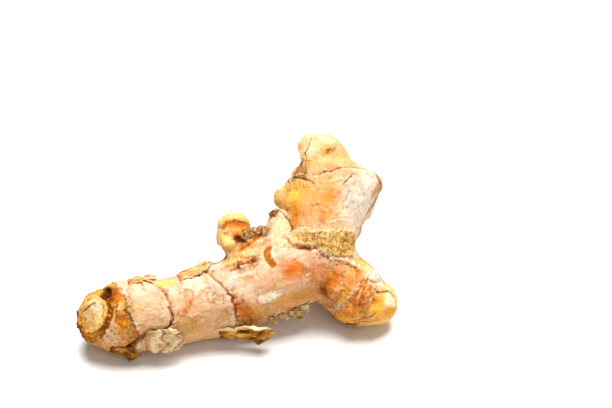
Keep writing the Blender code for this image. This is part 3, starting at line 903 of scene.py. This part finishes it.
def thumb(skin):
    """The short thumb: a fibrous orange and yellow mottle, a crack, and a smooth pale tip."""
    paint, shade = skin.paint, skin.shade
    on = skin.on("thumb")
    s, angle = skin.at["thumb"][:2]
    coarse, middle, fine = skin.field(3.2, 1), skin.field(1.6, 0), skin.field(0.8, 1)
    threads = noise(np.column_stack((s * 1.6, np.radians(angle) * 2.2, np.zeros(len(s)))), 1.0, 193)
    threads += 0.5 * fine
    paint(on, (222, 154, 84), 0.9)
    shade(
        on,
        (coarse, -0.1, 0.35, (210, 126, 50), 0.7),
        (middle, 0.1, 0.45, (184, 108, 44), 0.65),
        (middle, -0.15, -0.5, (246, 210, 160), 0.7),
        (threads, 0.2, 0.55, (250, 222, 170), 0.45),
        (threads, -0.2, -0.55, (156, 92, 38), 0.4),
        (s, 9.0, 5.5, (236, 190, 152), 0.65),
    )
    plain_ring(skin, "thumb", 10.8, 1.0, 0, rise=0.08, drop=0.12, dark=0.2, seed=1)
    tip = step(s - 18.2 - 1.4 * np.cos(np.radians(angle - 5)) + skin.wander(1, 0.9), -0.4, 0.8) * on
    paint(tip, (248, 208, 128), 0.9)
    shade(tip, (coarse, 0.0, 0.4, (240, 180, 84), 0.6))
    skin.blots("thumb", THUMB_BLOTS)
    skin.marks("thumb", THUMB_MARKS)
    shade(on * (1 - tip), (noise(skin.points, 0.55, 194) + 0.4 * middle, 0.3, 0.6, (158, 90, 36), 0.6))
    shade(skin.patch("thumb", 19.4, 6, 4.4, 1.8, -30), (fine, 0.1, 0.35, (96, 60, 32), 0.9))
    skin.height += on * (1 - tip) * (0.18 * middle + 0.14 * fine)
    root_scars(skin, "thumb", (9, -70, 1.4, 1), (13, -120, 1.3, 1), (16, 150, 1.3, 0))


def back_finger(skin):
    """The finger behind, with rings like the others and an orange bud at its end."""
    for along, tilt, facing in ((9.0, 1.0, 30), (13.6, 0.9, -40), (17.8, 0.6, 90)):
        plain_ring(skin, "back", along, tilt, facing, rise=0.35, drop=0.4)
    on, s = skin.on("back"), skin.at["back"][0]
    tip = step(s + skin.wander(1, 1.2), 27.4, 28.6) * on
    skin.shade(
        on,
        (skin.field(6.4, 0), 0.0, 0.4, (232, 170, 104), 0.6),
        (s + skin.wander(1, 1.6), 20.5, 24.5, (242, 196, 116), 0.75),
        (s + skin.wander(0, 1.6), 23.0, 27.5, (236, 178, 96), 0.6),
    )
    skin.paint(tip, (196, 124, 58), 0.8)
    skin.shade(tip, (skin.field(0.8, 1), 0.0, 0.3, (128, 76, 34), 0.7))
    root_scars(skin, "back", (11, 60, 1.4, 1), (15.5, -60, 1.4, 1), (12, 140, 1.3, 0), (20, 10, 1.2, 0))


RED_SEAM = ((0.2, -10.5, 22.8), (1.3, -9.6, 22.9), (2.4, -8.6, 22.9), (3.4, -8.0, 23.5), (4.4, -7.3, 23.9),
            (5.4, -6.1, 23.9))
TORN_EDGE = ((19.4, -11.6, 24.6), (22.9, -11.9, 22.9), (24.9, -11.6, 21.5), (27.0, -11.2, 20.5),
             (29.1, -10.8, 19.3), (31.0, -11.2, 18.0))


def seams(skin):
    """What crosses from one finger to another: the torn pale edge, the slit, the orange streak, and painted
    shade.
    """
    line, paint, stroke = skin.line, skin.paint, skin.stroke
    paint(line(RED_SEAM, 0.55, wobble=0.2), (230, 100, 32), 1.0, -0.25)
    paint(line(((0.6, -11.8, 22.2), (4, -10.2, 22.2), (7.6, -8.6, 22.8)), 0.6, seed=1), (244, 186, 128), 0.7)
    streak = line(((25.6, -14.6, 17.6), (23.6, -15.6, 16.6), (22.4, -16.6, 14.6)), 1.9, wobble=0.8)
    paint(streak, (214, 126, 48), 0.85)
    skin.shade(streak, (skin.field(3.2, 0), 0.0, 0.4, (182, 92, 28), 0.6))
    # Painted shade: the dark brown in the corner where the thumb meets the long finger.
    paint(line(((21.8, -16.7, 14.9), (23.4, -16.9, 12.6)), 1.1, seed=1), (116, 56, 18), 0.9)
    slit = stroke("long", ((48.6, -8), (47.9, 2), (47.8, 14), (48.4, 27)), 0.95, wobble=0.25)
    skin.lift(slit, -0.7)
    paint(step(slit, 0.2, 0.6), (206, 128, 60), broken=0.15)
    left = stroke("long", ((47.9, -8), (47.2, 2), (47.2, 13), (48.0, 26)), 0.22, wobble=0.2, seed=1)
    paint(left, (112, 58, 24), 0.85)
    lip = stroke("long", ((49.8, -8), (49.1, 2), (49.1, 14), (49.8, 26)), 0.35, wobble=0.2)
    paint(lip, (255, 240, 222), 0.7)
    torn = line(TORN_EDGE, 0.6, wobble=1.0, seed=1)
    skin.lift(torn, 0.5)
    paint(step(torn, 0.15, 0.5), (255, 238, 206))
    # Painted shadow under the torn pale edge, where it stands off the skin; the skin is sunk a little there
    # too.
    under = line([(x - 0.3, y - 1.3, z - 0.5) for x, y, z in TORN_EDGE], 0.4, wobble=0.9, seed=1)
    paint(under * (1 - torn), (184, 124, 82), 0.7, -0.35)


def make_skin(finish):
    """The whole skin: fused, hollowed, given its relief and painted, with painted shade in its hollows."""
    piece = fused_skin()
    mesh = piece.data
    points = flattened_end(grid_of(mesh.vertices) / MM)
    for row in DENTS:
        points = dent(points, *row)
    set_points(mesh, points)
    skin = Surface(points)
    for part in (base_coat, long_finger, broken_end, upper_branch, crown_and_buds, curled_bud, thumb,
                 back_finger, seams):
        part(skin)
    normals = grid_of(mesh.vertex_normals, "vector")
    resting = step(points[:, 2], 0.15, 0.9)
    points = points + normals * (skin.height * resting)[:, None]
    points[:, 2] = np.maximum(points[:, 2], 0.0)
    set_points(mesh, points)
    hollow = hollowness(mesh, points, 4)
    # Painted shade: brown darkens the hollows of the finished relief; on light skin, points that stand above
    # their neighbours are whitened as a painted highlight.
    skin.shade(1.0, (hollow, 0.02, 0.12, (140, 78, 30), 0.6))
    skin.shade(step(skin.colour[:, 1], 0.12, 0.4), (hollow, -0.03, -0.12, WHITE_SKIN, 0.3))
    dress(mesh, skin.colour, skin.fibre, finish)
    return piece


# ---------------- dry leaves


def leaf(name, tree, finger, along, around, lift, tones, finish, wear=0.22, crumple=0.25, pleat=(0, 0),
         grid=(30, 46), slope=0.0, roll=0.0, taper=0.0, rim=None, seed=0):
    """One dry leaf: a thin sheet that leaves the skin at its root and ends in torn edges.

    lift is how far it stands off at its last edge along and around, pleat is how many lobes run
    across it and how deep they are, slope shifts its far side along the finger, roll curls its
    tip back (in radians), taper narrows it towards the tip, and rim is the colour of its first edge around.
    """
    rows, columns = grid
    u, v = np.meshgrid(np.linspace(0, 1, rows), np.linspace(0, 1, columns), indexing="ij")
    u, v = u.ravel(), v.ravel()
    plan = np.stack((u * 3, v * 4, np.full(len(u), seed * 3.7)), axis=1)
    torn_u = 1 - wear * np.abs(rough_noise(plan * (0, 1, 1), 0.45, seed, 4)) * 2 * u
    torn_v = 1 - wear * rough_noise(plan * (1, 0, 1), 0.5, seed + 3, 4) * (v - 0.5) * 2
    rounded = 1 - 0.3 * u * np.abs(2 * v - 1) ** 3
    turn = roll * u + 1e-6
    reach = u if roll == 0 else np.sin(turn) / roll
    rolled = 0 if roll == 0 else (1 - np.cos(turn)) / roll * abs(along[1] - along[0])
    s = along[0] + (along[1] - along[0]) * reach * torn_u * rounded + slope * (v - 0.5)
    angle = around[0] + (around[1] - around[0]) * (0.5 + (v - 0.5) * torn_v * (1 - taper * u))
    lobes = np.abs(np.sin(math.pi * (pleat[0] * u + 0.3 * noise(plan, 1.5, seed + 8)))) if pleat[1] else 0 * u
    wavy = crumple * rough_noise(plan, 0.9, seed + 5) * step(u, 0.0, 0.4)
    off = -0.12 + 0.3 * step(u, 0.0, 0.15) + lift[0] * u**1.6 + lift[1] * v**2 * (0.3 + 0.7 * u) + wavy
    off = off + pleat[1] * lobes * step(u, 0.0, 0.2) + rolled
    points = np.array([land(tree, finger, a, b, c) for a, b, c in zip(s, angle, off)])
    points[:, 2] = np.maximum(points[:, 2], 0.12)
    corners = [i * columns + k for i in range(rows - 1) for k in range(columns - 1)]
    faces = [(first, first + 1, first + columns + 1, first + columns) for first in corners]
    mesh = bpy.data.meshes.new(name)
    mesh.from_pydata((points * MM).tolist(), [], faces)
    light, middle, dark = (srgb(*tone) for tone in tones)
    veins = noise(plan * (0.6, 7, 1), 1.0, seed + 10)
    shade, fine = rough_noise(plan, 1.0, seed + 12), rough_noise(plan, 0.3, seed + 14)
    colour = np.tile(middle, (len(u), 1))
    layers = [
        (step(shade, -0.1, 0.4), light), (step(shade, -0.1, -0.5), dark),
        (step(veins, 0.1, 0.6) * 0.25, light), (step(veins, -0.3, -0.7) * 0.25, dark),
        (step(fine, 0.2, 0.5) * 0.4, dark), (step(fine, -0.2, -0.5) * 0.5, light),
        # Of the next two, the first lightens the torn far edge and the second is painted shade, darkening
        # each leaf's root where it leaves the skin.
        (step(u, 0.92, 1.0) * 0.5, light), (step(u, 0.2, 0.03) * 0.7, dark),
    ]
    # Painted shade in the creases between the lobes.
    if pleat[1]:
        layers.append((step(lobes, 0.4, 0.1) * 0.8, dark))
    if rim is not None:
        layers.append((step(v + 0.25 * shade, 0.3, 0.12), srgb(*rim)))
    for mask, target in layers:
        colour = colour * (1 - mask[:, None]) + target * mask[:, None]
    dress(mesh, colour, plan * (1, 3, 1), finish)
    middle_face = mesh.polygons[len(faces) // 2]
    centre = FINGERS[finger].ray(float(np.mean(s)), float(np.mean(angle)))[0]
    if middle_face.normal.dot(middle_face.center - Vector(centre) * MM) < 0:
        mesh.flip_normals()
    piece = linked(name, mesh)
    thick = piece.modifiers.new("thickness", "SOLIDIFY")
    thick.thickness = LEAF_THICKNESS * MM
    thick.offset = 1.0
    return piece


def strands(name, tree, roots, finish, tones, width=0.16, seed=0):
    """Loose dry fibres as one piece. Each root is finger, along, around, length, heading and rise."""
    draw = np.random.default_rng(seed)
    vertices, faces, colours = [], [], []
    for finger, along, around, length, heading, rise in roots:
        start = land(tree, finger, along, around, -0.1)
        ahead = land(tree, finger, along + 0.4 * math.cos(heading), around + 2.4 * math.sin(heading), -0.1)
        out = FINGERS[finger].ray(along, around)[1]
        way = (ahead - start) / max(np.linalg.norm(ahead - start), 1e-6)
        side = np.cross(way, out)
        bend = draw.normal(scale=0.35)
        first = len(vertices)
        steps = 5
        tone = srgb(*tones[draw.integers(len(tones))])
        for k in range(steps + 1):
            t = k / steps
            middle = start + way * length * t + side * bend * length * t**2
            middle = middle + out * rise * (t + 0.3 * math.sin(3 * t))
            middle[2] = max(middle[2], 0.15)
            half = width * (1 - 0.75 * t) / 2
            for corner in ((-1, -0.5), (1, -0.5), (0, 1)):
                vertices.append(middle + side * corner[0] * half + out * corner[1] * half)
                colours.append(tone)
        for k in range(steps):
            for c in range(3):
                a, b = first + k * 3 + c, first + k * 3 + (c + 1) % 3
                faces.append((a, b, b + 3, a + 3))
        faces.append((first + 2, first + 1, first))
        last = first + steps * 3
        faces.append((last, last + 1, last + 2))
    mesh = bpy.data.meshes.new(name)
    mesh.from_pydata((np.array(vertices) * MM).tolist(), [], faces)
    shape = bmesh.new()
    shape.from_mesh(mesh)
    bmesh.ops.recalc_face_normals(shape, faces=shape.faces)
    shape.to_mesh(mesh)
    shape.free()
    dress(mesh, colours, vertices, finish)
    return linked(name, mesh)


PALE = ((252, 234, 204), (240, 210, 170), (196, 148, 100))
WHITISH = ((255, 246, 234), (252, 238, 220), (232, 204, 174))
PEEL = ((248, 222, 184), (226, 180, 128), (170, 110, 62))
RUSTY = ((226, 170, 92), (164, 104, 44), (70, 38, 16))
GOLDEN = ((250, 212, 132), (204, 130, 36), (84, 42, 12))
DUSKY = ((226, 184, 146), (200, 150, 110), (128, 80, 46))
STRAW = ((240, 220, 166), (210, 176, 112), (136, 100, 52))


def make_leaves(tree, finish):
    """Every dry leaf, by the name of the CAD node that it stands for."""
    made = {}
    for name, finger, along, around, lift, tones, more in (
        ("end_flap", "long", (11.2, 19.8), (70, 110), (0.5, 1.5), PALE,
         dict(pleat=(2.05, 1), crumple=0.1, wear=0.18)),
        ("end_frill", "long", (2.4, 9.8), (104, 134), (0.7, 0.9), RUSTY, dict(crumple=0.6, wear=0.4)),
        ("end_peel", "long", (8, 16), (-16, -60), (0.3, 0.8), PEEL, dict(crumple=0.35, wear=0.35)),
        ("middle_flap", "long", (29, 42), (94, 122), (0.6, 1.3), GOLDEN,
         dict(crumple=0.6, wear=0.3, roll=0.5, rim=(253, 232, 186))),
        ("middle_peel", "long", (22, 33.6), (-8, -52), (0.5, 0.9), PEEL, dict(crumple=0.4, wear=0.3)),
        ("back_scale", "long", (40, 31.5), (-72, -126), (0.9, 0.9), STRAW, dict(crumple=0.35)),
        ("crown_scale", "mother", (18.9, 22.6), (-6, -52), (0.3, 0.4), DUSKY,
         dict(crumple=0.15, wear=0.12, taper=0.75, slope=0.9, rim=(238, 204, 166))),
        ("side_scale", "mother", (15.4, 22), (136, 166), (0.4, 0.4), STRAW, dict(crumple=0.25)),
        ("thumb_scale", "thumb", (11.8, 18.2), (4, -34), (0.1, 0.15), WHITISH, dict(crumple=0.08, wear=0.12)),
        ("back_finger_scale", "back", (11.5, 18.6), (-148, -66), (0.7, 0.4), STRAW, dict(crumple=0.35)),
    ):
        made[name] = leaf(name + "_dry", tree, finger, along, around, lift, tones, finish,
                          seed=len(made) * 11 + 5, **more)
    return made


def make_shreds(tree, finish):
    """Small torn remains of roots and leaves that hang from the underside."""
    made = []
    for along, around, lift, tones in (
        ((44.6, 47.6), (110, 126), (0.4, 1.2), PEEL), ((47.6, 51.6), (112, 134), (0.6, 2.4), STRAW),
        ((51, 53.6), (114, 130), (0.3, 1.4), PALE), ((41.4, 44), (108, 124), (0.3, 1.2), PEEL),
    ):
        made.append(leaf(f"shred_{len(made) + 1}", tree, "long", along, around, lift, tones, finish, wear=0.5,
                         crumple=0.7, grid=(14, 18), seed=140 + 7 * len(made)))
    return made


def make_collar(tree, finish):
    """The crumbling collar at the foot of the upper branch, as short fibres over the skin."""
    draw = np.random.default_rng(31)
    roots = []
    for _ in range(300):
        around = draw.uniform(-6, 79)
        low = np.interp(around, COLLAR_ANGLES, COLLAR_LOW)
        high = np.interp(around, COLLAR_ANGLES, COLLAR_HIGH)
        along = draw.uniform(low + 0.3, high)
        length, heading = draw.uniform(0.5, 1.5), draw.uniform(math.pi * 0.6, math.pi * 1.4)
        roots.append(("mother", along, around, length, heading, draw.uniform(0, 0.35)))
    for _ in range(70):
        around = draw.uniform(-40, 76)
        low = np.interp(around, COLLAR_ANGLES, COLLAR_LOW)
        length, heading = draw.uniform(0.5, 1.1), draw.uniform(math.pi * 0.8, math.pi * 1.2)
        roots.append(("mother", low + 0.5, around, length, heading, draw.uniform(0.1, 0.4)))
    return strands("collar_fibres", tree, roots, finish, STRAW + ((228, 194, 124), (236, 208, 150)), seed=32)


def make_rootlets(tree, finish):
    """A few loose fibres on the rings and the torn edge of the broken end."""
    draw = np.random.default_rng(41)
    roots = []
    places = ((17.3, 30, 40, 9), (34, 30, 60, 12), (7.4, 36, 36, 16), (49.5, 122, 12, 5))
    for along, around, spread, count in places:
        for _ in range(count):
            roots.append(("long", along + draw.uniform(-0.5, 0.5), around + draw.uniform(-spread, spread),
                          draw.uniform(0.4, 1.1), draw.uniform(-1.2, 1.2), draw.uniform(0.05, 0.35)))
    return strands("rootlets", tree, roots, finish, RUSTY[:2] + STRAW[1:], width=0.18, seed=42)


# ---------------- materials


def skin_material(name, roughness, subsurface, fibre_depth, grain_depth, contrast):
    """A surface tinted point by point, with fine fibres and grain from noise."""
    made = bpy.data.materials.new(name)
    made.use_nodes = True
    nodes, links = made.node_tree.nodes, made.node_tree.links
    surface = nodes["Principled BSDF"]
    place = nodes.new("ShaderNodeTexCoord").outputs["Object"]

    def wire(node, **given):
        """Sets a node's inputs to numbers, or links them to other nodes; an underscore stands for a space."""
        for socket, value in given.items():
            target = node.inputs[socket.replace("_", " ")]
            if isinstance(value, bpy.types.NodeSocket):
                links.new(value, target)
            else:
                target.default_value = value
        return node

    def attribute(attribute_name, output):
        """An output of the node that reads a point attribute."""
        node = nodes.new("ShaderNodeAttribute")
        node.attribute_name = attribute_name
        return node.outputs[output]

    def noise_node(vector, scale, detail):
        node = nodes.new("ShaderNodeTexNoise")
        return wire(node, Scale=scale, Detail=detail, Roughness=0.6, Vector=vector).outputs["Fac"]

    def mapped(value, to_low, to_high):
        """The middle of a noise's range, stretched to run from one number to another."""
        node = wire(nodes.new("ShaderNodeMapRange"), Value=value, From_Min=0.3, From_Max=0.7)
        return wire(node, To_Min=to_low, To_Max=to_high).outputs["Result"]

    def times(colour, value):
        node = nodes.new("ShaderNodeVectorMath")
        node.operation = "SCALE"
        return wire(node, Vector=colour, Scale=value).outputs["Vector"]

    def bumped(height, depth, **before):
        """The normal after a bump of that depth, in millimetres."""
        node = nodes.new("ShaderNodeBump")
        return wire(node, Strength=0.8, Distance=depth * MM, Height=height, **before).outputs["Normal"]

    grain, clouds = noise_node(place, 1900.0, 4.0), noise_node(place, 520.0, 3.0)
    threads = noise_node(attribute("fibre", "Vector"), 2.2, 5.0)
    colour = times(attribute("tint", "Color"), mapped(grain, 1 - contrast, 1 + 0.5 * contrast))
    colour = times(colour, mapped(threads, 1 - contrast, 1 + 0.5 * contrast))
    normal = bumped(grain, grain_depth, Normal=bumped(threads, fibre_depth))
    cloudy = mapped(clouds, roughness - 0.12, roughness + 0.12)
    wire(surface, Base_Color=colour, Roughness=cloudy, Normal=normal, Specular_IOR_Level=0.05)
    wire(surface, Subsurface_Weight=subsurface, Subsurface_Radius=(1.0, 0.6, 0.35), Subsurface_Scale=0.0012)
    return made


def floor_material():
    """A plain white floor with little shine."""
    made = bpy.data.materials.new("white_floor")
    made.use_nodes = True
    surface = made.node_tree.nodes["Principled BSDF"]
    surface.inputs["Base Color"].default_value = FLOOR_WHITE
    surface.inputs["Roughness"].default_value = 0.6
    return made


# ---------------- floor, light and camera

PITCH = math.radians(41.0)  # how far the camera looks down
CAMERA_HEIGHT = 0.2886
FOCAL_LENGTH = 88.9  # millimetres, on a sensor 36 mm wide
AIM = (0, 0, 0.01)  # where the lamps point
FLOOR_WHITE = (0.86, 0.86, 0.86, 1.0)


def add_floor():
    """The flat floor that the piece lies on."""
    mesh = bpy.data.meshes.new("floor")
    half = 3.0
    corners = [(-half, -half, 0), (half, -half, 0), (half, half, 0), (-half, half, 0)]
    mesh.from_pydata(corners, [], [(0, 1, 2, 3)])
    mesh.materials.append(floor_material())
    linked("floor", mesh)


def add_light(name, place, size, power, colour):
    """A round lamp at a place, aimed at the piece."""
    light = bpy.data.lights.new(name, "AREA")
    light.shape = "DISK"
    light.size = size
    light.energy = power
    light.color = colour
    lamp = linked(name, light)
    lamp.location = place
    lamp.rotation_euler = (Vector(AIM) - Vector(place)).to_track_quat("-Z", "Y").to_euler()


def add_lights():
    """A soft studio: a large lamp above and behind, a weak one in front, and faint warm light all round."""
    add_light("window", (0.06, 0.17, 0.75), size=0.6, power=14.0, colour=(0.98, 0.99, 1.0))
    add_light("front_fill", (0.3, -0.5, 0.5), size=0.5, power=1.2, colour=(1.0, 0.97, 0.93))
    world = bpy.data.worlds.new("studio")
    world.use_nodes = True
    world.node_tree.nodes["Background"].inputs["Color"].default_value = (1.0, 0.88, 0.74, 1.0)
    world.node_tree.nodes["Background"].inputs["Strength"].default_value = 0.27
    bpy.context.scene.world = world


def add_camera():
    """A camera that looks down at the piece from the front."""
    camera = linked("camera", bpy.data.cameras.new("camera"))
    camera.data.sensor_width = 36.0
    camera.data.lens = FOCAL_LENGTH
    camera.data.clip_start = 0.01
    middle = Vector(MIDDLE) * MM
    camera.location = Vector((0, -CAMERA_HEIGHT / math.tan(PITCH), CAMERA_HEIGHT)) - middle
    camera.rotation_euler = (math.pi / 2 - PITCH, 0, 0)
    bpy.context.scene.camera = camera


def main():
    """Makes every piece, hides the CAD node that each one replaces, and adds the floor, the lights and the
    camera.
    """
    fresh = skin_material("turmeric_skin", roughness=0.6, subsurface=0.08, fibre_depth=0.10, grain_depth=0.07,
                          contrast=0.2)
    skin = make_skin(fresh)
    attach(skin, "root")
    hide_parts("rhizome")
    tree = bvh_of(skin.data)
    dry = skin_material("dry_leaf", roughness=0.72, subsurface=0.06, fibre_depth=0.07, grain_depth=0.06,
                        contrast=0.25)
    pieces = make_leaves(tree, dry)
    pieces["collar"] = make_collar(tree, dry)
    for node, piece in pieces.items():
        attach(piece, "root")
        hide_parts(node)
    for piece in [make_rootlets(tree, dry)] + make_shreds(tree, dry):
        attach(piece, "root")
    add_floor()
    add_lights()
    add_camera()
    bpy.context.scene.view_settings.view_transform = "Standard"


main()
